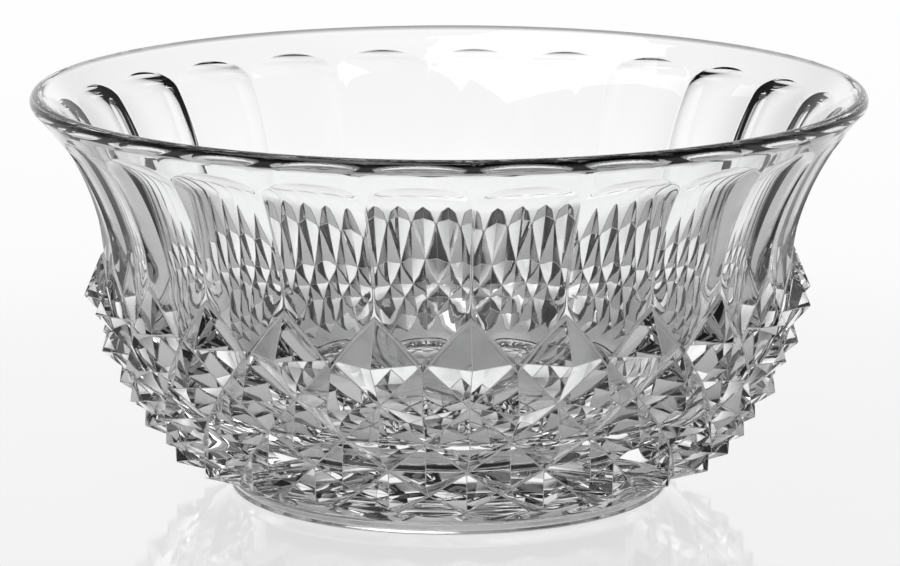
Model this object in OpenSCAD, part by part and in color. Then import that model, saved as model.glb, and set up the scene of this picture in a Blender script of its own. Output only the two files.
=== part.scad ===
// Pressed glass dessert bowl: a fluted, flaring upper wall over a lower wall of cut diamonds.
// Millimetres. The origin is the centre of the foot's underside and +Z is up.
// The bowl is one piece of glass, so it is one solid.

/* [Rim] */
// Outside diameter over the lip
rim_d = 130; // [126:1:138]
// Overall height
bowl_h = 62.9; // [61:0.1:66]
// Thickness of the glass at the rounded lip
lip_t = 2.6; // [2.2:0.1:3]

/* [Fluted wall] */
// Number of flutes round the bowl, and of diamonds in each row (an even number)
columns = 24; // [22:2:26]
// Diameter over the ribs where they run out on the diamonds
waist_d = 107.9; // [106:0.1:110]
// Height at which the ribs run out on the diamonds
waist_z = 38.1; // [37:0.1:39]
// Radius of the outward flare, seen from the side
flare_r = 42; // [40:0.5:46]
// Depth of a flute below the plain flare, at its middle
flute_depth = 1.2; // [1.1:0.02:1.3]
// Height of the highest point of each arch, where a flute runs out below the lip
arch_z = 58.6; // [58:0.1:59.4]
// Radius of the run-out at the top of each flute, seen from the side
runout_r = 10; // [8:0.5:12]

/* [Diamond wall] */
// Number of rows of whole diamonds
rows = 5; // [4:1:5]
// Lean of the lower wall at the waist, in degrees: it draws in from there as part of a sphere
waist_lean = 4.9; // [4:0.1:8]
// Height of a diamond of the first row as a share of its width
diamond_aspect = 1.08; // [1:0.01:1.12]
// How much that share falls from each row to the next
aspect_drop = 0.035; // [0.02:0.005:0.05]
// How far a point stands out, as a share of half the width of its diamond
point_share = 0.627; // [0.4:0.01:0.7]
// How far the points are turned up from square to the wall, in degrees
point_tilt = 13; // [0:1:15]

/* [Foot] */
// Diameter over the foot
foot_d = 68.6; // [64:0.1:70]
// Height of the foot's upright side
foot_h = 1.8; // [1.4:0.1:2.2]
// Chamfer round the foot's lower edge
foot_edge = 0.5; // [0.3:0.1:0.8]
// Width of the flat ring that the bowl stands on
foot_ring_w = 3.2; // [2.5:0.1:5]
// Depth of the hollow under the foot, inside that ring
foot_hollow = 1.2; // [0.8:0.1:2]

/* [Inside] */
// Thickness of the lower wall from a valley to the inside
wall_t = 3.5; // [3.2:0.1:4.2]
// Radius of the inside of the flare, seen from the side
inside_flare_r = 46; // [42:0.5:48]
// Thickness of the floor over the table
floor_t = 9; // [8:0.1:10]
// Radius of the corner between the floor and the wall
floor_corner_r = 26; // [20:1:28]

/* [Hidden] */
$fn = 144;
pitch = 360 / columns;
// How far pieces of the form run into each other, and past each other
overlap = 1.2;
// How far a round that runs on from another one overlaps it, so that the two cross cleanly
join = 0.002;
lip_r = lip_t / 2;
lip_at = [rim_d / 2 - lip_r, bowl_h - lip_r];
waist_at = [waist_d / 2, waist_z];
// The valleys between the diamonds lie on a sphere with its centre on the axis
bowl_r = waist_at[0] / cos(waist_lean);
bowl_z = waist_z + bowl_r * sin(waist_lean);
inside_r = bowl_r - wall_t;

// The point at rp from p and at rq from q, on the right of the way from p to q
function meeting(p, rp, q, rq) =
    let (d = norm(q - p), u = (q - p) / d, a = (rp * rp - rq * rq + d * d) / (2 * d))
    p + a * u + sqrt(rp * rp - a * a) * [u[1], -u[0]];
// The point at a distance from p, on the way to q
function on_the_way(p, q, distance) = p + distance * (q - p) / norm(q - p);

// The flare passes through the waist and runs smoothly into the lip's round
flare_at = meeting(waist_at, flare_r, lip_at, flare_r + lip_r);
// The inside flare runs smoothly into the inner sphere below and the lip's round above
inside_at = meeting([0, bowl_z], inside_r + inside_flare_r, lip_at, inside_flare_r - lip_r);
turn_at = on_the_way([0, bowl_z], inside_at, inside_r);
lip_inside = on_the_way(inside_at, lip_at, inside_flare_r);
// The centre of the corner between floor and wall
corner_z = floor_t + floor_corner_r;
corner_x = sqrt((inside_r - floor_corner_r) ^ 2 - (bowl_z - corner_z) ^ 2);
corner_end = on_the_way([0, bowl_z], [corner_x, corner_z], inside_r);

// Each flute is part of a sphere about the flare's centre, then runs out on a smaller arc that
// starts in line with it. Both are turned about the upright axis through that centre.
flute_r = flare_r + flute_depth;
arch_lean = asin((arch_z - flare_at[1]) / flare_r);
runout_arm = flute_r - runout_r + join;
runout_lean = arch_lean
    - acos((flare_r ^ 2 + runout_arm ^ 2 - runout_r ^ 2) / (2 * flare_r * runout_arm));
// Sizes of a flute's cut about that axis: its back, its lower end and half the angle it fills
flute_back = flare_at[0] - rim_d / 2 - overlap;
flute_low_z = wall_at(1)[1] - 3 * overlap;
flute_half_angle = atan(rim_d / 2 * sin(pitch / 2) / flute_back);

// The net of valleys has levels: level 0 is the waist, and each next one is half a diamond lower.
// The diamonds of a row have their middles on the level of the row's number.
last_level = rows + 1;
// Lean of the wall at a level, from upright
function lean(level) =
    level == 0 ? waist_lean
    : lean(level - 1)
        + (diamond_aspect - aspect_drop * (level - 1)) * pitch / 2 * cos(lean(level - 1));
function wall_at(level, depth = 0) =
    [(bowl_r - depth) * cos(lean(level)), bowl_z - (bowl_r - depth) * sin(lean(level))];
// A point of the section, set a number of columns round the bowl from the front
function round_by(p, column) =
    [p[0] * sin(column * pitch), -p[0] * cos(column * pitch), p[1]];
// Crossings of the valleys lie half a column on at every other level
function crossing(level, column, depth = 0) =
    round_by(wall_at(level, depth), column + (level % 2) / 2);
// The tip of the diamond whose middle is on a level
function tip(level, column) =
    let (h = point_share * wall_at(level)[0] * PI / columns, tilt = lean(level) - point_tilt)
    round_by(wall_at(level) + h * [cos(tilt), -sin(tilt)], column + (1 - level % 2) / 2);

// The upper faces of the first row run on into the flutes, as far as these points inside the glass
function over_waist(column) =
    let (p = crossing(0, column), way = p - tip(1, column))
    p + way * overlap / norm([way[0], way[1]]);
function over_valley(column) =
    let (
        p = crossing(1, column),
        inward = -[p[0], p[1], 0] / norm([p[0], p[1]]),
        across = cross(crossing(0, column) - tip(1, column), p - tip(1, column)),
        rise = -(across * inward) / across[2]
    )
    p + overlap * (inward + [0, 0, rise]);

// Where each kind of point starts in the list of points
inner_start = (last_level + 1) * columns;
tip_start = 2 * inner_start;
function net_index(level, column) = level * columns + (column + columns) % columns;

// Section of the glass to the right of the axis, before it is fluted and cut
module section() {
    difference() {
        union() {
            flare_section();
            translate(lip_at) circle(lip_r);
            bowl_section();
            foot_section();
        }
        inside_section();
        square([foot_d / 2 - foot_edge - foot_ring_w, foot_hollow]);
    }
}

// From the first crossings of the valleys up to the lip
module flare_section() {
    neck = flare_at[0] - flare_r;
    difference() {
        polygon([
            [0, wall_at(1)[1]], [neck, wall_at(1)[1]], [neck, flare_at[1]],
            flare_at, lip_at, lip_inside, [0, lip_inside[1]]
        ]);
        translate(flare_at) circle(flare_r);
    }
}

// The round lower wall, just inside the valleys
module bowl_section() {
    intersection() {
        translate([0, bowl_z]) circle(bowl_r - overlap / 2);
        translate([0, foot_h]) square([bowl_r, wall_at(1)[1] - foot_h]);
    }
}

// The foot, and the plain band that closes the last row of diamonds
module foot_section() {
    foot_r = foot_d / 2;
    band = wall_at(last_level);
    polygon([
        [0, 0], [foot_r - foot_edge, 0], [foot_r, foot_edge], [foot_r, foot_h],
        band + overlap / 4 * [1, 1], band + overlap / 2 * [-1, 2], [0, band[1] + overlap]
    ]);
}

module inside_section() {
    // Bowl, down to the corner
    intersection() {
        translate([0, bowl_z]) circle(inside_r);
        translate([0, corner_end[1]]) square([bowl_r, turn_at[1] - corner_end[1]]);
    }
    // Corner and floor
    intersection() {
        translate([corner_x, corner_z]) circle(floor_corner_r);
        polygon([
            [corner_x, floor_t - overlap], [corner_x, corner_z], corner_end,
            [bowl_r, corner_end[1]], [bowl_r, floor_t - overlap]
        ]);
    }
    polygon([
        [0, floor_t], [corner_x, floor_t], [corner_x, corner_z], corner_end, [0, corner_end[1]]
    ]);
    // Flare
    difference() {
        translate([0, turn_at[1]]) square([inside_at[0], bowl_h + overlap - turn_at[1]]);
        translate(inside_at) circle(inside_flare_r);
    }
}

// The cut of one flute, with its middle over +X
module flute() {
    translate([flare_at[0], 0, 0])
        rotate(180 - flute_half_angle)
            rotate_extrude(angle = 2 * flute_half_angle) flute_section();
}

// Section of the cut, to the right of the flute's own axis
module flute_section() {
    way = [cos(runout_lean), sin(runout_lean)];
    middle = [0, flare_at[1]];
    runout = middle + runout_arm * way;
    intersection() {
        union() {
            intersection() {
                translate(middle) circle(flute_r);
                polygon([
                    middle, middle + 2 * flute_r * way,
                    [2 * flute_r, flute_low_z], [0, flute_low_z]
                ]);
            }
            translate(runout) circle(runout_r);
            polygon([middle, runout, runout + [0, runout_r], [0, runout[1] + runout_r]]);
        }
        translate([flute_back, 0]) square([2 * flute_r, bowl_h]);
    }
}

// The diamonds as one closed band: the cut faces outside, and a plain net inside the glass
module diamond_band() {
    outer = [for (l = [0:last_level], c = [0:columns - 1]) crossing(l, c)];
    inner = [
        for (l = [0:last_level], c = [0:columns - 1])
            l == 0 ? over_waist(c) : l == 1 ? over_valley(c) : crossing(l, c, wall_t / 2)
    ];
    tips = [for (l = [1:rows], c = [0:columns - 1]) tip(l, c)];
    faces = [
        for (l = [1:last_level], c = [0:columns - 1])
            let (
                top = net_index(l - 1, c),
                bottom = net_index(l + 1, c),
                right = net_index(l, c + 1 - l % 2),
                left = net_index(l, c - l % 2),
                point = tip_start + net_index(l - 1, c)
            )
            each concat(
                l > rows ? [
                    [top, right, left],
                    [left, right, inner_start + right, inner_start + left]
                ] : [
                    [top, right, point], [right, bottom, point],
                    [bottom, left, point], [left, top, point],
                    inner_start * [1, 1, 1] + [bottom, right, left]
                ],
                l > 1 ? [] : [
                    [right, top, inner_start + top, inner_start + right],
                    [top, left, inner_start + left, inner_start + top]
                ],
                [inner_start * [1, 1, 1] + [top, left, right]]
            )
    ];
    polyhedron(concat(outer, inner, tips), faces);
}

module bowl() {
    color([0.88, 0.92, 0.93, 0.55]) {
        difference() {
            difference() {
                rotate_extrude() section();
                for (c = [0:2:columns - 1])
                    rotate((c + 0.5) * pitch - 90) flute();
            }
            for (c = [1:2:columns - 1])
                rotate((c + 0.5) * pitch - 90) flute();
        }
        diamond_band();
    }
}

bowl();
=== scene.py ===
# %% [markdown]
# A bowl of clear pressed glass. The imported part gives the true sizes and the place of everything.
# This lesson makes the same form again as one fine mesh, with the small rounding that real pressed
# glass has on its ribs and between its facets, because glass shows its edges most of all.

# %% Load the part
import math

import bmesh
import bpy
import numpy as np
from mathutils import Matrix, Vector


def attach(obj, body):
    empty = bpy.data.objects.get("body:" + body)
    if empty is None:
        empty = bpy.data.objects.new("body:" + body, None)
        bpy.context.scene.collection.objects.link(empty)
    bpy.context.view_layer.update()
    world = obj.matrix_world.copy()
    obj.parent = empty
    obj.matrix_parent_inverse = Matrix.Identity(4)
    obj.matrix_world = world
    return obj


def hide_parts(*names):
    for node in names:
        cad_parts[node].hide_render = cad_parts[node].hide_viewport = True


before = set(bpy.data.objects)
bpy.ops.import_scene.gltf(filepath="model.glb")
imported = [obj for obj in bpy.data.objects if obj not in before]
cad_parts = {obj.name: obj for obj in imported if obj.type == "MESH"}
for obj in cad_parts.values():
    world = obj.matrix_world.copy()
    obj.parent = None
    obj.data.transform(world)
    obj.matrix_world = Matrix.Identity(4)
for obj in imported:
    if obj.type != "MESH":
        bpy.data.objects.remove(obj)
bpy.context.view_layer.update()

# %% [markdown]
# The sizes are those of the part, in millimetres. They could be measured on the part's mesh, but
# written down by name they can be read and compared. Two circles that touch, or a circle through a
# point that touches another one, give every centre, so only the sizes that a maker would choose
# are written down.

# %% Sizes of the form
COLUMNS = 24
PITCH = 2 * math.pi / COLUMNS
HALF = PITCH / 2
RIM_R = 65.0
TOP_Z = 62.9
LIP_R = 1.3
WAIST = np.array([53.95, 38.1])
WAIST_LEAN = math.radians(4.9)
FLARE_R = 42.0
FLUTE_R = 43.2
RUNOUT_R = 10.0
ARCH_Z = 58.6
WALL = 3.5
INSIDE_FLARE_R = 46.0
FLOOR_Z = 9.0
CORNER_R = 26.0
LIP = np.array([RIM_R - LIP_R, TOP_Z - LIP_R])
BOWL_R = WAIST[0] / math.cos(WAIST_LEAN)
BOWL_Z = WAIST[1] + BOWL_R * math.sin(WAIST_LEAN)
BALL = np.array([0, BOWL_Z])
INSIDE_R = BOWL_R - WALL
print("round bowl, mm: radius", round(BOWL_R, 2), "outside,", round(INSIDE_R, 2), "inside")

# %% Centres of the flare and of its inside
def meeting(p, rp, q, rq):
    """The point at rp from p and at rq from q, on the right of the way from p to q."""
    d = np.linalg.norm(q - p)
    u = (q - p) / d
    a = (rp * rp - rq * rq + d * d) / (2 * d)
    return p + a * u + math.sqrt(rp * rp - a * a) * np.array([u[1], -u[0]])


FLARE = meeting(WAIST, FLARE_R, LIP, FLARE_R + LIP_R)
INSIDE_FLARE = meeting(BALL, INSIDE_R + INSIDE_FLARE_R, LIP, INSIDE_FLARE_R - LIP_R)
print("flare centre", FLARE.round(3), "inside flare centre", INSIDE_FLARE.round(3))

# %% [markdown]
# A flute is the hollow that a round cutter leaves. Its length bends with the flare. At the top a
# tighter arc runs it out under the lip, and the end of that makes the arch. At the bottom another
# arc turns it in more steeply, as the flutes of such bowls do where they meet the diamonds. Arcs
# that touch one another give the whole line, so that it has no kink.

# %% The line of a flute
RUNOUT_ARM = FLUTE_R - RUNOUT_R
arch_lean = math.asin((ARCH_Z - FLARE[1]) / FLARE_R)
arm_share = (FLARE_R**2 + RUNOUT_ARM**2 - RUNOUT_R**2) / (2 * FLARE_R * RUNOUT_ARM)
RUNOUT_LEAN = arch_lean - math.acos(arm_share)
RUNOUT = RUNOUT_ARM * np.array([math.cos(RUNOUT_LEAN), math.sin(RUNOUT_LEAN)])
SWEEP_Z = 43.1
SWEEP_R = 14.7
SWEEP_LEAN = math.asin((SWEEP_Z - FLARE[1]) / FLUTE_R)
SWEEP_MID = SWEEP_Z - SWEEP_R * math.sin(SWEEP_LEAN)


def flute_axis_r(z):
    """Radius of a flute's hollow about its own axis, at a height."""
    if z < SWEEP_Z:
        turned_in = math.cos(math.asin(max(z - SWEEP_MID, 0) / SWEEP_R)) - math.cos(SWEEP_LEAN)
        return FLUTE_R * math.cos(SWEEP_LEAN) + SWEEP_R * turned_in
    if z <= FLARE[1] + FLUTE_R * math.sin(RUNOUT_LEAN):
        return math.sqrt(FLUTE_R**2 - (z - FLARE[1]) ** 2)
    up = RUNOUT_R**2 - (z - FLARE[1] - RUNOUT[1]) ** 2
    return RUNOUT[0] + math.sqrt(up) if up > 0 else 0.0


print("flute's hollow at the waist, mm:", round(flute_axis_r(WAIST[1]), 2))

# %% [markdown]
# The fluted wall. Seen from above, each flute is a hollow with its own axis outside the glass, so
# its distance from the bowl's axis is worked out for any height and any angle round. The glass is
# the least of its own flute, the next flute and the plain flare. It could be cut with solid tools,
# but a soft minimum in place of a hard one also gives the small rounding on the ribs and arches.

# %% Distance of the fluted wall from the axis
RIB_SOFT = 0.16
ARCH_SOFT = 0.16
NO_FLUTE = 1000.0


def flute_r(z, turn):
    """Distance of a flute's surface from the bowl's axis, at an angle from the flute's middle."""
    r = flute_axis_r(z)
    side = FLARE[0] * math.sin(turn)
    if r <= abs(side):
        return NO_FLUTE
    return FLARE[0] * math.cos(turn) - math.sqrt(r * r - side * side)


def flare_at(z):
    """Distance of the plain flare from the axis."""
    return FLARE[0] - math.sqrt(FLARE_R**2 - (z - FLARE[1]) ** 2)


def soft_min(a, b, soft):
    """The lesser of two values, rounded where they are nearly equal."""
    h = min(max(0.5 + 0.5 * (b - a) / soft, 0), 1)
    return b + (a - b) * h - soft * h * (1 - h)


def wall_r(z, turn):
    """Distance of the finished wall from the axis; turn is 0 on a rib."""
    fluted = soft_min(flute_r(z, HALF - turn), flute_r(z, HALF + turn), RIB_SOFT)
    return soft_min(fluted, flare_at(z), ARCH_SOFT)


waist_rib, waist_flute = wall_r(WAIST[1], 0), wall_r(WAIST[1], HALF)
print("wall at the waist: rib", round(waist_rib, 2), "flute", round(waist_flute, 2))

# %% [markdown]
# The net of diamonds. Its crossings lie on a sphere, which is the round bowl under the waist. Each
# level leans a little more than the one above it, by half the height of a diamond, so that the net
# draws in towards the foot. A tip stands out by a share of its diamond's width. A rule for all
# levels was chosen over a list of heights, because then every diamond follows from the first.

# %% Crossings and tips of the diamonds
ROWS = 5
ASPECT = 1.08
ASPECT_DROP = 0.035
POINT_SHARE = 0.627
POINT_TILT = math.radians(13)
LEANS = [WAIST_LEAN]
for k in range(ROWS + 1):
    LEANS.append(LEANS[k] + (ASPECT - ASPECT_DROP * k) * HALF * math.cos(LEANS[k]))


def around(r, z, turn):
    """A point at a distance from the axis, turned from the front towards +X."""
    return np.array([r * math.sin(turn), -r * math.cos(turn), z])


def level_rz(k):
    """Distance from the axis and height of a level of crossings."""
    return BOWL_R * math.cos(LEANS[k]), BOWL_Z - BOWL_R * math.sin(LEANS[k])


def crossing(k, turn):
    """A point where four diamonds meet."""
    return around(*level_rz(k), turn)


def tip(k, turn):
    """The point of a diamond."""
    r, z = level_rz(k)
    h = POINT_SHARE * r * math.pi / COLUMNS
    tilt = LEANS[k] - POINT_TILT
    return around(r + h * math.cos(tilt), z - h * math.sin(tilt), turn)


print("levels, mm:", [tuple(round(v, 2) for v in level_rz(k)) for k in range(ROWS + 2)])

# %% [markdown]
# One half of one column holds everything: the rest is its mirror image and its turns. Faces are
# collected as lists of points, because a plain list is easy to mirror and to weld. Round surfaces
# shade smoothly, cut facets stay flat, and the narrow strips between facets are marked, because
# the glass paints light lines on them as a painted highlight.

# %% A place to collect faces
SMOOTH, FLAT, STRIP = "smooth", "flat", "strip"
SAME_POINT = 1e-5
faces = []


def add(points, kind):
    """Keeps one face, seen anticlockwise from outside the glass."""
    kept = [p for i, p in enumerate(points) if np.linalg.norm(p - points[i - 1]) > SAME_POINT]
    if len(kept) > 2:
        faces.append((kept, kind))


def add_grid(rows, kind):
    """Rows of points from low to high, each from left to right seen from outside."""
    for low, high in zip(rows, rows[1:]):
        for i in range(len(low) - 1):
            add([low[i], low[i + 1], high[i + 1], high[i]], kind)


def add_either(points, row, kind=FLAT):
    """Rows with an even number are mirror images, so their faces go round the other way."""
    add(points if row % 2 else points[::-1], kind)


print("kinds of face:", SMOOTH, FLAT, STRIP)

# %% Helpers that move points
def across(turn):
    """The direction square to the upright plane through the axis at an angle."""
    return np.array([math.cos(turn), math.sin(turn), 0])


def onto(p, turn):
    """The point moved square onto the upright plane through the axis at an angle."""
    side = across(turn)
    return p - side * (p @ side)


def inset(corner, a, b, off_a, off_b):
    """A corner moved into its facet, by off_a from the edge to a and off_b from the edge to b."""
    ea = (a - corner) / np.linalg.norm(a - corner)
    eb = (b - corner) / np.linalg.norm(b - corner)
    s = np.linalg.norm(np.cross(ea, eb))
    return corner + ea * off_b / s + eb * off_a / s


print("half a column turns by", round(math.degrees(HALF), 2), "degrees")

# %% [markdown]
# The wall is drawn with upright lines at set angles. They stand close together beside a rib, where
# the surface turns over within a third of a millimetre, and far apart in the hollow of a flute.
# Even steps would need many more faces for the same sharp rib.

# %% Angles of the upright lines
steps_mm = [0, 0.1, 0.2, 0.3, 0.5, 0.9, 1.5, 2.2, 3.0, 4.0, 5.0, 6.0]
TURNS = [s / WAIST[0] for s in steps_mm] + [HALF]
print(len(TURNS) - 1, "strips in half a column,", (len(TURNS) - 1) * 2 * COLUMNS, "all round")

# %% [markdown]
# The upper facets of the first row run up into the flutes. The wall starts on the line where the
# two meet. A solid tool would cut them against each other, but here the meeting is found for each
# upright line in turn, so that the wall's faces end exactly on it.

# %% Where the first row of facets meets the flutes
LOWEST_MEETING, HIGHEST_MEETING, SEARCH = 31.0, 38.5, 4.0
first_tip = tip(1, 0)
facet_normal = np.cross(crossing(1, HALF) - first_tip, crossing(0, 0) - first_tip)
facet_normal /= np.linalg.norm(facet_normal)


def solve(f, low, high, halvings=50):
    """Where f goes from below zero to above it."""
    for _ in range(halvings):
        middle = (low + high) / 2
        low, high = (middle, high) if f(middle) < 0 else (low, middle)
    return (low + high) / 2


def facet_over(z, turn):
    """How far the wall stands outside the facet's plane: below zero where the facet covers it."""
    return (around(flute_r(z, HALF - turn), z, turn) - first_tip) @ facet_normal


def meeting_z(turn):
    """Height at which the facet and the flute meet."""
    guess = LOWEST_MEETING + (HIGHEST_MEETING - LOWEST_MEETING) * (1 - turn / HALF)
    return solve(lambda z: facet_over(z, turn), guess - SEARCH, guess + SEARCH)


corner_line = []
for turn in TURNS:
    z = meeting_z(turn)
    corner_line.append(around(flute_r(z, HALF - turn), z, turn))
into_facet = np.cross(facet_normal, corner_line[-1] - corner_line[0])
into_facet /= np.linalg.norm(into_facet)
if into_facet @ (first_tip - corner_line[0]) < 0:
    into_facet = -into_facet
print("corner line from z", corner_line[0][2].round(2), "to", corner_line[-1][2].round(2))

# %% [markdown]
# The upper wall is one grid between the corner line and the lip. Its rows aren't level: they follow
# the corner line at the bottom and the arch at the top, and lie close together at both, because
# that is where the surface bends. A level grid would cut the arches into steps.

# %% The wall, from the corner line up to the lip
VALLEY = 0.17
RIDGE = 0.08
UNDER_ARCH = 0.45
OVER_ARCH = 0.3
ARCH_LOW, ARCH_HIGH = 50, 59.5


def arch_z(turn):
    """Height at which a flute runs out, at an angle from the rib."""
    return solve(lambda z: flute_r(z, HALF - turn) - flare_at(z), ARCH_LOW, ARCH_HIGH)


def wall_row(heights):
    """One row of the wall, with a height for each upright line."""
    return [around(wall_r(z, turn), z, turn) for z, turn in zip(heights, TURNS)]


shares_up = [0, 0.02, 0.1, 0.2, 0.3, 0.4, 0.5, 0.6, 0.68, 0.75, 0.81, 0.86, 0.9, 0.93, 0.96, 0.98]
near_arch = [-OVER_ARCH, -0.2, -0.12, -0.04, 0.04, 0.12, 0.2, OVER_ARCH]
shares_over = [0.2, 0.45, 0.75]
steep = math.hypot(1, (corner_line[0][2] - corner_line[-1][2]) / (WAIST[0] * HALF))
bottoms = [p[2] + VALLEY * steep for p in corner_line]
arches = [arch_z(turn) for turn in TURNS]
lip_out = LIP + LIP_R * (FLARE - LIP) / np.linalg.norm(FLARE - LIP)
wall_rows = []
for s in shares_up:
    wall_rows.append(wall_row([b + (a - UNDER_ARCH - b) * s for a, b in zip(arches, bottoms)]))
for off in near_arch:
    wall_rows.append(wall_row([a + off for a in arches]))
for s in shares_over:
    wall_rows.append(wall_row([a + OVER_ARCH + (lip_out[1] - a - OVER_ARCH) * s for a in arches]))
add_grid(wall_rows, SMOOTH)
print("arch from z", round(arches[0], 2), "at the cusp to", round(arches[-1], 2), "in the middle")

# %% [markdown]
# The lip and the inside are turned round the axis. They could be a spun curve, but they follow one
# profile line here that shares the wall's upright lines, so that all of it welds into one skin.

# %% Lip and inside
LIP_STEPS, FLARE_STEPS, BALL_STEPS, CORNER_STEPS = 14, 16, 14, 10


def arc(centre, r, start, end, count):
    """Points on an arc; angles in degrees from +X, and count steps."""
    turns = np.radians(np.linspace(start, end, count + 1))
    return [centre + r * np.array([math.cos(t), math.sin(t)]) for t in turns]


def bearing(a, b):
    """The angle of the way from a to b, in degrees from +X."""
    return math.degrees(math.atan2(b[1] - a[1], b[0] - a[0]))


def turned(line):
    """A profile line as rows of points on the upright lines."""
    return [[around(r, z, t) for t in TURNS] for r, z in line]


corner_z = FLOOR_Z + CORNER_R
corner_x = math.sqrt((INSIDE_R - CORNER_R) ** 2 - (BOWL_Z - corner_z) ** 2)
floor_corner = np.array([corner_x, corner_z])
lip_end = bearing(INSIDE_FLARE, LIP)
turn_over = bearing(BALL, INSIDE_FLARE)
corner_turn = bearing(BALL, floor_corner)
lip_arc = arc(LIP, LIP_R, bearing(LIP, FLARE), lip_end, LIP_STEPS)
flare_arc = arc(INSIDE_FLARE, INSIDE_FLARE_R, lip_end, turn_over + 180, FLARE_STEPS)
ball_arc = arc(BALL, INSIDE_R, turn_over, corner_turn, BALL_STEPS)
corner_arc = arc(floor_corner, CORNER_R, corner_turn, -90, CORNER_STEPS)
floor_line = [np.array([corner_x * s, FLOOR_Z]) for s in (0.75, 0.5, 0.25, 0)]
inside_line = lip_arc + flare_arc[1:] + ball_arc[1:] + corner_arc[1:] + floor_line
add_grid([wall_rows[-1], *turned(inside_line)], SMOOTH)
print("inside line has", len(inside_line), "points; flat floor to", round(corner_x, 2), "mm")

# %% [markdown]
# The facets. A bevel would round their edges, but it makes a tangle where many facets meet in one
# point. So every facet is drawn a little smaller than its triangle, and the gaps that this leaves
# become narrow strips: wider ones along the valleys, as the mould's cutter leaves them, and hair
# thin ones along the ridges. Each tip becomes a small flat, and each crossing a small star.

# %% Corners of the facets
upper, lower = {}, {}
for row in range(1, ROWS + 1):
    at_tip, at_side = (0, HALF) if row % 2 else (HALF, 0)
    peak = tip(row, at_tip)
    side = crossing(row, at_side)
    top = crossing(row - 1, at_tip)
    bottom = crossing(row + 1, at_tip)
    upper[row] = {
        "tip": inset(peak, top, side, RIDGE, RIDGE),
        "top": inset(top, side, peak, VALLEY, RIDGE),
        "side": inset(side, peak, top, RIDGE, VALLEY),
    }
    lower[row] = {
        "tip": inset(peak, side, bottom, RIDGE, RIDGE),
        "side": inset(side, bottom, peak, VALLEY, RIDGE),
        "bottom": inset(bottom, peak, side, RIDGE, VALLEY),
    }
print("corners of", len(upper) + len(lower), "facets in half a column")

# %% Facets of the whole diamonds
for row in range(1, ROWS + 1):
    at_tip = 0 if row % 2 else HALF
    u, d = upper[row], lower[row]
    if row > 1:
        above = lower[row - 1]
        add_either([u["tip"], u["side"], u["top"]], row)
        add_either([u["tip"], u["top"], onto(u["top"], at_tip), onto(u["tip"], at_tip)], row, STRIP)
        add_either([u["top"], u["side"], above["bottom"], above["side"]], row, STRIP)
    add_either([d["tip"], d["bottom"], d["side"]], row)
    add_either([d["side"], u["side"], u["tip"], d["tip"]], row, STRIP)
    add_either([d["bottom"], d["tip"], onto(d["tip"], at_tip), onto(d["bottom"], at_tip)], row, STRIP)
    add_either([d["tip"], u["tip"], onto(u["tip"], at_tip), onto(d["tip"], at_tip)], row, STRIP)
print(len(faces), "faces so far in half a column")

# %% [markdown]
# The upper facet of the first row ends on the corner line, with a strip between it and the flute,
# because a mould leaves no sharp inner edge. The facet's upper edge is the corner line itself,
# moved into the facet by the width of the strip.

# %% The first row's upper facet and its corner with the flute
SHORTEST = 0.02
u = upper[1]
start = inset(corner_line[0], corner_line[-1], first_tip, VALLEY, RIDGE)
moved = [p + into_facet * VALLEY for p in corner_line[1:]]
edge = [start] + [p for p in moved if p[0] > start[0] + SHORTEST]
edge[-1] = onto(edge[-1], HALF) - across(HALF) * VALLEY
bottom_row = wall_rows[0]
ahead = len(bottom_row) - len(edge)
add([u["tip"], u["side"], *edge[::-1]], FLAT)
add([u["tip"], start, onto(start, 0), onto(u["tip"], 0)], STRIP)
add([onto(start, 0), start, *bottom_row[: ahead + 1][::-1]], STRIP)
for i in range(len(edge) - 1):
    add([edge[i], edge[i + 1], bottom_row[ahead + i + 1], bottom_row[ahead + i]], STRIP)
print("the facet's upper edge has", len(edge), "points")

# %% [markdown]
# The last row is cut off by the foot, so that only flat half diamonds are left of it. Their lower
# edge bows down a little in the middle, where the flat face runs into the round neck. It is drawn
# point by point on the upright lines, so that the neck can start from it.

# %% Last row of half diamonds
BOW = 0.4
HEM_SHORTEST = 0.05
last_level = ROWS + 1
high_mid = crossing(last_level - 1, HALF)
low_corner = crossing(last_level, 0)
low_mid = onto(low_corner, HALF)
slope = (high_mid - low_mid) / (high_mid[2] - low_mid[2])
hem = []
for turn in TURNS:
    chord_r = np.hypot(*low_mid[:2]) / math.cos(HALF - turn)
    on_chord = around(chord_r, low_mid[2], turn)
    hem.append(on_chord + slope * BOW * (1 - ((HALF - turn) / HALF) ** 2))
along = low_corner - high_mid
along /= np.linalg.norm(along)
down = np.cross(np.cross(along, low_mid - high_mid), along)
down *= VALLEY / np.linalg.norm(down)
half_top = onto(inset(high_mid, low_corner, low_mid, VALLEY, 0), HALF)
half_side = low_corner + down + along * HEM_SHORTEST
kept_hem = [p for p in hem if p[0] > half_side[0] + HEM_SHORTEST]
star_hem = hem[: len(hem) - len(kept_hem)]
above = lower[ROWS]
add([half_top, half_side, *kept_hem], FLAT)
add([above["side"], above["bottom"], half_side, half_top], STRIP)
add([onto(above["bottom"], 0), *star_hem, kept_hem[0], half_side, above["bottom"]], FLAT)
print("hem from z", hem[0][2].round(2), "to", hem[-1][2].round(2))

# %% [markdown]
# Under the half diamonds a plain neck draws in to the foot, which is upright. The bowl stands on a
# flat ring round a shallow hollow, so that it doesn't rock. All of it is turned, and follows one
# profile line whose corners are rounded, as pressing never leaves them sharp.

# %% Neck, foot and underside
NECK = (36.9, 3.4)
FOOT_R = 34.3
FOOT_H = 1.8
FOOT_EDGE = 0.5
FOOT_RING = 3.2
FOOT_HOLLOW = 1.2
FOOT_SOFT = 0.45
RING_SHARE = 1.5


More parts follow.
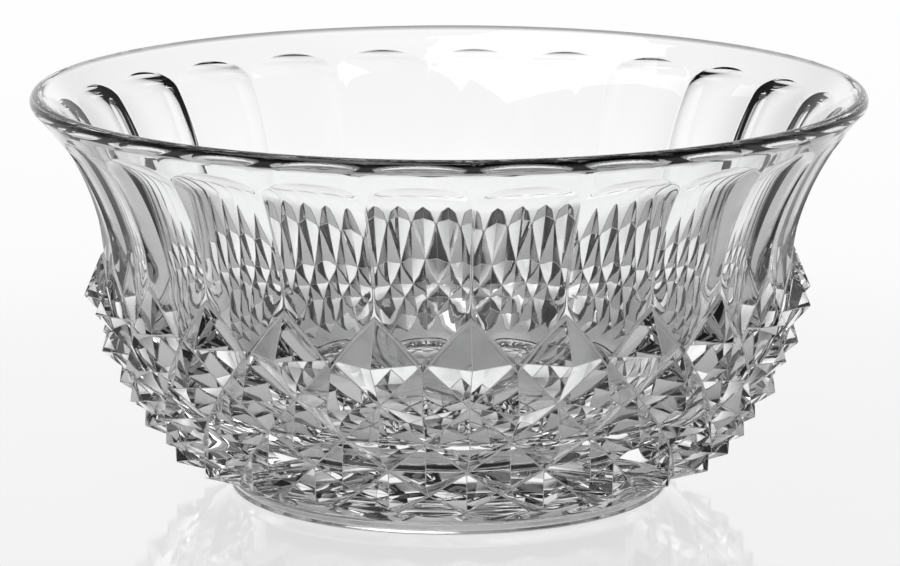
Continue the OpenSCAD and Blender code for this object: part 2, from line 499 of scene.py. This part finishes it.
def rounded(line, r, count=5):
    """A profile line with its inner corners rounded."""
    points = [np.array(p, float) for p in line]
    out = [points[0]]
    for a, b, c in zip(points, points[1:], points[2:]):
        ua, uc = (a - b) / np.linalg.norm(a - b), (c - b) / np.linalg.norm(c - b)
        half_angle = math.acos(np.clip(ua @ uc, -1, 1)) / 2
        reach = r / math.tan(half_angle)
        for t in np.linspace(0, 1, count):
            into, away = b + ua * reach, b + uc * reach
            out.append((1 - t) ** 2 * into + 2 * t * (1 - t) * b + t**2 * away)
    return out + [points[-1]]


ring_in = FOOT_R - FOOT_EDGE - FOOT_RING
on_ring = (ring_in + RING_SHARE, 0)
foot_line = rounded([NECK, (FOOT_R, FOOT_H), (FOOT_R, 0), on_ring], FOOT_SOFT)
foot_line += rounded([on_ring, (ring_in, 0), (ring_in, FOOT_HOLLOW), (0, FOOT_HOLLOW)], FOOT_SOFT)[1:]
add_grid([hem, *turned(foot_line)][::-1], SMOOTH)
print("foot line has", len(foot_line), "points")

# %% [markdown]
# At each crossing the corners of the facets round it leave a small gap, where real pressed glass
# has a tiny rounded pit. A fan of faces about the gap's middle closes it. One face with many
# corners would close it too, but it wouldn't be flat, and glass shows that.

# %% Stars at the crossings
for level in range(1, ROWS + 1):
    at = HALF if level % 2 else 0
    if level > 1:
        star = [onto(lower[level - 1]["bottom"], at), lower[level - 1]["bottom"]]
    else:
        star = [bottom_row[-1], edge[-1]]
    star += [upper[level]["side"], lower[level]["side"]]
    if level < ROWS:
        star += [upper[level + 1]["top"], onto(upper[level + 1]["top"], at)]
    else:
        star += [half_top]
    middle = onto(sum(star) / len(star), at)
    for a, b in zip(star, star[1:]):
        add_either([middle, a, b], level, STRIP)
print(len(faces), "faces in half a column")

# %% [markdown]
# The half column is welded to its mirror image, which gives one whole column. A Mirror modifier
# works on the main planes only, so the points are mirrored in the flute's own plane here. The mark
# of the strips goes along as a value on the faces, for the glass to read.

# %% One column as a mesh
MM = 1000
COLUMN_WELD = 2e-7


def mirrored(p):
    """The mirror image in the upright plane through a flute's middle."""
    side = across(HALF)
    return p - 2 * side * (p @ side)


column = bmesh.new()
is_strip = column.faces.layers.float.new("strip")
for points, kind in faces:
    for image in (points, [mirrored(p) for p in points[::-1]]):
        face = column.faces.new([column.verts.new(p / MM) for p in image])
        face.smooth = kind != FLAT
        face[is_strip] = 1.0 if kind == STRIP else 0.0
bmesh.ops.remove_doubles(column, verts=column.verts, dist=COLUMN_WELD)
column_mesh = bpy.data.meshes.new("glass_column")
column.to_mesh(column_mesh)
column.free()
print("one column:", len(column_mesh.vertices), "points,", len(column_mesh.polygons), "faces")

# %% [markdown]
# Geometry, glass, table and surround are all made with node trees. Two small helpers keep them
# short. One adds any node: its settings first, then the values or links of its sockets. The other
# wraps a socket that carries a number, so that sums on it can be written as sums.

# %% A helper that adds nodes
class NodeSheet:
    """A node tree, emptied, and the one way in which nodes are added to it."""

    def __init__(self, tree):
        self.tree = tree
        tree.nodes.clear()

    def add(self, kind, sockets=None, stops=None, **settings):
        """Adds a node and gives its outputs; stops are the greys of a ramp."""
        node = self.tree.nodes.new(kind)
        for name, value in settings.items():
            setattr(node, name, value)
        if stops:
            elements = node.color_ramp.elements
            while len(elements) < len(stops):
                elements.new(0.5)
            for element, (at, grey) in zip(elements, stops):
                element.position = at
                element.color = (grey, grey, grey, 1)
        for name, value in (sockets or {}).items():
            value = value.socket if isinstance(value, Number) else value
            if isinstance(value, bpy.types.NodeSocket):
                self.tree.links.new(value, node.inputs[name])
            else:
                node.inputs[name].default_value = value
        return node.outputs


# %% A helper for sums on sockets
class Number:
    """A socket that carries a number, for use in sums."""

    def __init__(self, sheet, socket):
        self.sheet, self.socket = sheet, socket

    def maths(self, operation, a, b):
        """Adds a Math node on two numbers."""
        return Number(self.sheet, self.sheet.add("ShaderNodeMath", {0: a, 1: b}, operation=operation)[0])

    def __add__(self, other):
        return self.maths("ADD", self, other)

    def __radd__(self, other):
        return self.maths("ADD", other, self)

    def __sub__(self, other):
        return self.maths("SUBTRACT", self, other)

    def __rsub__(self, other):
        return self.maths("SUBTRACT", other, self)

    def __mul__(self, other):
        return self.maths("MULTIPLY", self, other)

    def __rmul__(self, other):
        return self.maths("MULTIPLY", other, self)

    def __truediv__(self, other):
        return self.maths("DIVIDE", self, other)

    def __rtruediv__(self, other):
        return self.maths("DIVIDE", other, self)

    def most(self, other):
        return self.maths("MAXIMUM", self, other)


print("helpers for node trees:", NodeSheet.__name__, Number.__name__)

# %% [markdown]
# Every column of the bowl is alike, as the mould was cut with one tool. A node tree repeats the
# column round the axis, welds the joints and gives the result its glass. An array with a turn would
# do the same, but the tree has its count, weld and glass as inputs with names.

# %% A node tree that repeats a column round the axis
repeat_tree = bpy.data.node_groups.new("columns_round_the_axis", "GeometryNodeTree")
sides = repeat_tree.interface
sides.new_socket("Column", in_out="INPUT", socket_type="NodeSocketGeometry")
count_in = sides.new_socket("Columns", in_out="INPUT", socket_type="NodeSocketInt")
weld_in = sides.new_socket("Weld", in_out="INPUT", socket_type="NodeSocketFloat")
glass_in = sides.new_socket("Glass", in_out="INPUT", socket_type="NodeSocketMaterial")
sides.new_socket("Bowl", in_out="OUTPUT", socket_type="NodeSocketGeometry")
repeater = NodeSheet(repeat_tree)
given = repeater.add("NodeGroupInput")
places = repeater.add("GeometryNodePoints", {"Count": given["Columns"]})
which = Number(repeater, repeater.add("GeometryNodeInputIndex")[0])
turn_of_each = which * (2 * math.pi / Number(repeater, given["Columns"]))
upright = repeater.add("ShaderNodeCombineXYZ", {"Z": turn_of_each})
copies = repeater.add(
    "GeometryNodeInstanceOnPoints",
    {"Points": places[0], "Instance": given["Column"], "Rotation": upright[0]},
)
real = repeater.add("GeometryNodeRealizeInstances", {"Geometry": copies[0]})
welded = repeater.add("GeometryNodeMergeByDistance", {"Geometry": real[0], "Distance": given["Weld"]})
in_glass = repeater.add("GeometryNodeSetMaterial", {"Geometry": welded[0], "Material": given["Glass"]})
repeater.add("NodeGroupOutput", {"Bowl": in_glass[0]})
print("nodes in the tree:", len(repeat_tree.nodes))

# %% [markdown]
# Clear pressed glass. It has hardly any colour of its own and bends light as soda glass does. Its
# skin was never ground, so it waves very slightly, and that is a bump that follows the object. The
# narrow strips carry a painted highlight: they are mixed towards a rough, opaque near-white shader,
# so that light lines run along the valleys. That could be a second material, but a mix by the
# strips' mark keeps the bowl one piece of one glass.

# %% The glass
GLASS_BENDS = 1.52
# The share of the painted highlight on the strips.
STRIP_HIGHLIGHT = 0.7


def new_material(name):
    """A material and its empty node sheet."""
    material = bpy.data.materials.new(name)
    material.use_nodes = True
    return material, NodeSheet(material.node_tree)


glass, glass_sheet = new_material("clear_pressed_glass")
where = glass_sheet.add("ShaderNodeTexCoord")["Object"]
ripple = glass_sheet.add("ShaderNodeTexNoise", {"Vector": where, "Scale": 160.0, "Detail": 1.5})
wave = glass_sheet.add(
    "ShaderNodeBump", {"Height": ripple["Fac"], "Strength": 0.25, "Distance": 0.00004}
)
body = glass_sheet.add(
    "ShaderNodeBsdfPrincipled",
    {
        "Base Color": (0.995, 0.998, 0.998, 1),
        "Transmission Weight": 1.0,
        "IOR": GLASS_BENDS,
        "Roughness": 0.0,
        "Normal": wave[0],
    },
)
# Painted highlight: an opaque, near-white rough shader that draws light lines on the strips.
painted_highlight = glass_sheet.add(
    "ShaderNodeBsdfPrincipled",
    {"Base Color": (0.95, 0.95, 0.95, 1), "IOR": GLASS_BENDS, "Roughness": 0.35},
)
on_strip = Number(glass_sheet, glass_sheet.add("ShaderNodeAttribute", attribute_name="strip")["Fac"])
skin = glass_sheet.add("ShaderNodeMixShader", {0: on_strip * STRIP_HIGHLIGHT, 1: body[0], 2: painted_highlight[0]})
glass_sheet.add("ShaderNodeOutputMaterial", {"Surface": skin[0]})
print("glass bends light by", GLASS_BENDS, "and its strips are frosted by", STRIP_HIGHLIGHT)

# %% [markdown]
# Light is thrown back again and again inside the thick floor. In the real glass such long ways end
# in the dark of the room. A darker glass would end them too, but it would tint the thin rim, so a
# way ends here after six meetings with a surface instead.

# %% Light paths inside thick glass
MEETINGS = 6
light_paths = bpy.context.scene.cycles
light_paths.max_bounces = MEETINGS
light_paths.glossy_bounces = MEETINGS
light_paths.transmission_bounces = MEETINGS
print("a light path ends after", MEETINGS, "meetings")

# %% [markdown]
# The bowl is one piece of glass, so it has to be one closed skin: light bends wrongly at any seam.
# The tree is put on the column as a modifier, its result is taken as a plain mesh, and the column
# is thrown away. The mesh stands where the part's own bowl is, in its place.

# %% The bowl as one plain mesh
BOWL_WELD = 0.000002
maker = bpy.data.objects.new("glass_column", column_mesh)
bpy.context.collection.objects.link(maker)
repeat = maker.modifiers.new("repeat", "NODES")
repeat.node_group = repeat_tree
repeat[count_in.identifier] = COLUMNS
repeat[weld_in.identifier] = BOWL_WELD
repeat[glass_in.identifier] = glass
ready = maker.evaluated_get(bpy.context.evaluated_depsgraph_get())
bowl_mesh = bpy.data.meshes.new_from_object(ready)
bowl_mesh.name = "glass_bowl"
maker.modifiers.remove(repeat)
bpy.data.objects.remove(maker)
bowl = bpy.data.objects.new("glass_bowl", bowl_mesh)
bpy.context.collection.objects.link(bowl)
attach(bowl, "root")
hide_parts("bowl")
print("bowl:", len(bowl_mesh.vertices), "points,", len(bowl_mesh.polygons), "faces")

# %% Is the skin closed
check = bmesh.new()
check.from_mesh(bowl_mesh)
open_edges = sum(1 for e in check.edges if not e.is_manifold)
uneven = sum(1 for e in check.edges if e.is_manifold and not e.is_contiguous)
volume = check.calc_volume(signed=True) * MM**3
triangles = sum(len(f.verts) - 2 for f in check.faces)
check.free()
print("open edges", open_edges, "uneven", uneven, "volume mm3", round(volume), "triangles", triangles)

# %% [markdown]
# The studio is a pale, shiny table under soft light. Clear glass has hardly any colour of its own,
# so its dark lines and grey facets are pieces of the studio that it bends into view. White panels
# stand on four sides of the table, with darker gaps between them. In the surround the gaps give
# less light. On the table they are painted shade, a darker white on the table's diagonals where
# glass sees it. One helper tells both where they are.

# %% Where the gaps between the panels are
GAP_STARTS, GAP_FULL = 0.2, 0.85


def between_panels(sheet, way):
    """From 0 on the four axes to 1 halfway between them, for a vector."""
    parts = sheet.add("ShaderNodeSeparateXYZ", {"Vector": way})
    x, y = Number(sheet, parts["X"]), Number(sheet, parts["Y"])
    reach = x * x + y * y
    square = (x * x * y * y * 4) / (reach * reach)
    eased = sheet.add(
        "ShaderNodeMapRange",
        {"Value": square, "From Min": GAP_STARTS, "From Max": GAP_FULL},
        interpolation_type="SMOOTHSTEP",
    )
    return Number(sheet, eased[0])


print("panels on four sides, with gaps from", GAP_STARTS, "to", GAP_FULL)

# %% [markdown]
# The table. Close to the bowl, glass sees the table in the bowl's own shadow, and further off it
# sees plain white, except on the diagonals between the panels, where that white is painted a little
# darker as painted shade. The camera sees a white table that keeps a little shadow and reflection.
# White paint under more light would also burn out the glass, so the white is given by what kind of
# ray looks at the table: the camera's, or one that comes through or off the glass.

# %% The table's finish, with painted shade on its diagonals
SHADE_ENDS, WHITE_STARTS = 0.11, 0.2
SEEN_WHITE = 0.9
THROUGH_WHITE = 0.18
GAP_SHADE = 0.3
SHINE = 0.22
pale, pale_sheet = new_material("pale_table")
spot = pale_sheet.add("ShaderNodeTexCoord")["Object"]
away = pale_sheet.add("ShaderNodeVectorMath", {0: spot}, operation="LENGTH")["Value"]
fade = pale_sheet.add(
    "ShaderNodeMapRange",
    {"Value": away, "From Min": SHADE_ENDS, "From Max": WHITE_STARTS},
    interpolation_type="SMOOTHSTEP",
)
far = Number(pale_sheet, fade[0])
gap = between_panels(pale_sheet, spot)
ray = pale_sheet.add("ShaderNodeLightPath")
to_camera = Number(pale_sheet, ray["Is Camera Ray"])
off_glass = Number(pale_sheet, ray["Is Glossy Ray"])
through = Number(pale_sheet, ray["Is Transmission Ray"]).most(off_glass)
white_seen = to_camera * (SEEN_WHITE + far * (1 - SEEN_WHITE))
# Painted shade: on the table's diagonals, between the panels, the white that glass sees is darker.
white_through = through * (THROUGH_WHITE + far * (1 - THROUGH_WHITE)) * (1 - gap * GAP_SHADE)
own = pale_sheet.add(
    "ShaderNodeBsdfPrincipled",
    {"Base Color": (0.85, 0.85, 0.85, 1), "Roughness": 0.08, "Specular IOR Level": 0.5},
)
white = pale_sheet.add("ShaderNodeEmission", {"Color": (1, 1, 1, 1), "Strength": 1.0})
top_coat = pale_sheet.add(
    "ShaderNodeMixShader", {0: white_seen + white_through, 1: own[0], 2: white[0]}
)
shine = pale_sheet.add("ShaderNodeBsdfGlossy", {"Color": (1, 1, 1, 1), "Roughness": 0.06})
surface = pale_sheet.add("ShaderNodeMixShader", {0: to_camera * SHINE, 1: top_coat[0], 2: shine[0]})
pale_sheet.add("ShaderNodeOutputMaterial", {"Surface": surface[0]})
print("nodes in the table's finish:", len(pale.node_tree.nodes))

# %% The table
TABLE_HALF = 3.0
TABLE_Z = -0.00002
corner_signs = [(-1, -1), (1, -1), (1, 1), (-1, 1)]
table_corners = [(x * TABLE_HALF, y * TABLE_HALF, TABLE_Z) for x, y in corner_signs]
table_mesh = bpy.data.meshes.new("table_top")
table_mesh.from_pydata(table_corners, [], [(0, 1, 2, 3)])
table_mesh.materials.append(pale)
table = bpy.data.objects.new("table_top", table_mesh)
bpy.context.collection.objects.link(table)
print("table:", 2 * TABLE_HALF, "m square")

# %% [markdown]
# The surround is white low down, where the panels stand, and dark overhead, with a grey patch at
# the very top, as a lamp over a table gives. Real panels could be built, but greys by height with
# darker gaps give the glass the same to bend, and are quick to set. The camera sees plain white.

# %% Surround
world = bpy.data.worlds.new("white_surround")
world.use_nodes = True
bpy.context.scene.world = world
sky = NodeSheet(world.node_tree)
direction = sky.add("ShaderNodeTexCoord")["Generated"]
height = sky.add("ShaderNodeSeparateXYZ", {"Vector": direction})["Z"]
panel_greys = [(0.0, 1.0), (0.16, 0.95), (0.36, 0.45), (0.62, 0.15), (0.88, 0.03), (0.95, 0.45)]
gap_greys = [(0.0, 0.75), (0.14, 0.55), (0.34, 0.25), (0.62, 0.1), (0.88, 0.03), (0.95, 0.45)]
panel = sky.add("ShaderNodeValToRGB", {"Fac": height}, stops=panel_greys)
between = sky.add("ShaderNodeValToRGB", {"Fac": height}, stops=gap_greys)
sky_ray = sky.add("ShaderNodeLightPath")
round_about = sky.add(
    "ShaderNodeMix",
    {0: between_panels(sky, direction), 6: panel[0], 7: between[0]},
    data_type="RGBA",
)
seen = sky.add(
    "ShaderNodeMix",
    {0: sky_ray["Is Camera Ray"], 6: round_about[2], 7: (1, 1, 1, 1)},
    data_type="RGBA",
)
light = sky.add("ShaderNodeBackground", {"Color": seen[2], "Strength": 1.0})
sky.add("ShaderNodeOutputWorld", {"Surface": light[0]})
print("surround from", panel_greys[0][1], "low down to", panel_greys[-2][1], "overhead")

# %% [markdown]
# One soft lamp hangs above, a little to the left and in front. It lights the table plainly, so that
# the bowl keeps a faint shadow. A small lamp would do that too, but it gives hard spots of light
# under the glass, so a wide one was chosen.

# %% Soft lamp
lamp_data = bpy.data.lights.new("soft_box", "AREA")
lamp_data.shape = "RECTANGLE"
lamp_data.size = 1.2
lamp_data.size_y = 0.8
lamp_data.energy = 6
lamp = bpy.data.objects.new("soft_box", lamp_data)
lamp.location = (-0.5, -0.3, 1.3)
lamp.rotation_euler = (-lamp.location).to_track_quat("-Z", "Y").to_euler()
bpy.context.collection.objects.link(lamp)
print("lamp of", lamp_data.energy, "W at", [round(v, 2) for v in lamp.location])

# %% [markdown]
# The camera stands where the photographer's did: far off, a little above the rim, and a few
# degrees round from the nearest rib. The rim's ellipse gives the height of the view, the size of
# the near part against the far part gives the distance, and the crossings give the turn.

# %% Camera
IMAGE_W, IMAGE_H = 900, 566
CENTRE_X, CENTRE_Y = 449, 294
FOCAL_PX = 4656.3
RISE, ROUND_BY = math.radians(11.92), math.radians(-3.4)
DISTANCE = 0.7303
LOOK_AT = Vector((0, 0, 0.030))
camera_data = bpy.data.cameras.new("camera")
camera_data.sensor_width = 36
camera_data.lens = FOCAL_PX / IMAGE_W * camera_data.sensor_width
camera_data.shift_x = (IMAGE_W / 2 - CENTRE_X) / IMAGE_W
camera_data.shift_y = (CENTRE_Y - IMAGE_H / 2) / IMAGE_W
level = Vector((math.sin(ROUND_BY), -math.cos(ROUND_BY), 0))
back = level * math.cos(RISE) + Vector((0, 0, math.sin(RISE)))
camera = bpy.data.objects.new("camera", camera_data)
camera.location = LOOK_AT + back * DISTANCE
camera.rotation_euler = (-back).to_track_quat("-Z", "Y").to_euler()
bpy.context.collection.objects.link(camera)
bpy.context.scene.camera = camera
bpy.context.scene.view_settings.view_transform = "Standard"
print("camera at", [round(v, 3) for v in camera.location], "with a lens of", round(camera_data.lens, 1))
